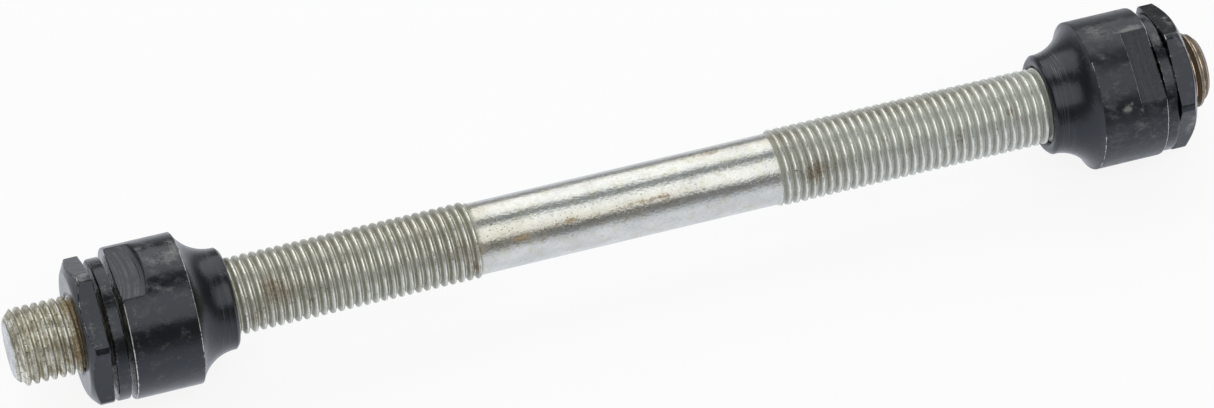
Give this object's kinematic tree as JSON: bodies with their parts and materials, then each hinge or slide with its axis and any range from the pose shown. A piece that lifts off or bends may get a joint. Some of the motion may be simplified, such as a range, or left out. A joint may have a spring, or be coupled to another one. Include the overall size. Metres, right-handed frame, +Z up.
{
  "type": "bicycle hub axle",
  "caption": "Solid threaded hub axle with a bearing cone, a plain washer and a thin hexagon lock nut at each end.",
  "frame": {"origin": "middle of the axle, on its centre line", "axes": "+X along the axle towards the end with the short stick-out, +Z up"},
  "size_m": [0.141, 0.0172, 0.0173],
  "materials": {
    "zinc_plated_steel": "worn zinc plating, bright on the smooth middle, dull and yellowed with brown rust on the threads",
    "black_cone_steel": "black oxide over turned steel, scuffed, with worn bright edges",
    "black_washer_steel": "black oxide over stamped steel, dull and scuffed",
    "black_nut_steel": "black oxide over turned steel, worn at the corners"
  },
  "bodies": {
    "axle": {"axle": "zinc_plated_steel"},
    "left_washer": {"left_washer": "black_washer_steel"},
    "left_cone": {"left_cone": "black_cone_steel"},
    "left_lock_nut": {"left_lock_nut": "black_nut_steel"},
    "right_washer": {"right_washer": "black_washer_steel"},
    "right_cone": {"right_cone": "black_cone_steel"},
    "right_lock_nut": {"right_lock_nut": "black_nut_steel"}
  },
  "joints": [
    {"name": "left_stack_travel", "type": "slide", "parent": "axle", "child": "left_washer", "axis": [1, 0, 0], "range_m": [-0.0075, 0.027]},
    {"name": "left_cone_turn", "type": "hinge", "parent": "left_washer", "child": "left_cone", "pos_m": [0, 0, 0], "axis": [1, 0, 0], "range_deg": [-2700, 9720]},
    {"name": "left_nut_turn", "type": "hinge", "parent": "left_washer", "child": "left_lock_nut", "pos_m": [0, 0, 0], "axis": [1, 0, 0], "range_deg": [-2700, 9720]},
    {"name": "right_stack_travel", "type": "slide", "parent": "axle", "child": "right_washer", "axis": [1, 0, 0], "range_m": [-0.032, 0.003]},
    {"name": "right_cone_turn", "type": "hinge", "parent": "right_washer", "child": "right_cone", "pos_m": [0, 0, 0], "axis": [1, 0, 0], "range_deg": [-11520, 1080]},
    {"name": "right_nut_turn", "type": "hinge", "parent": "right_washer", "child": "right_lock_nut", "pos_m": [0, 0, 0], "axis": [1, 0, 0], "range_deg": [-11520, 1080]}
  ],
  "couplings": [
    {"joint": "left_cone_turn", "follows": "left_stack_travel", "rad_per_m": 6283.2},
    {"joint": "left_nut_turn", "follows": "left_stack_travel", "rad_per_m": 6283.2},
    {"joint": "right_cone_turn", "follows": "right_stack_travel", "rad_per_m": 6283.2},
    {"joint": "right_nut_turn", "follows": "right_stack_travel", "rad_per_m": 6283.2}
  ]
}
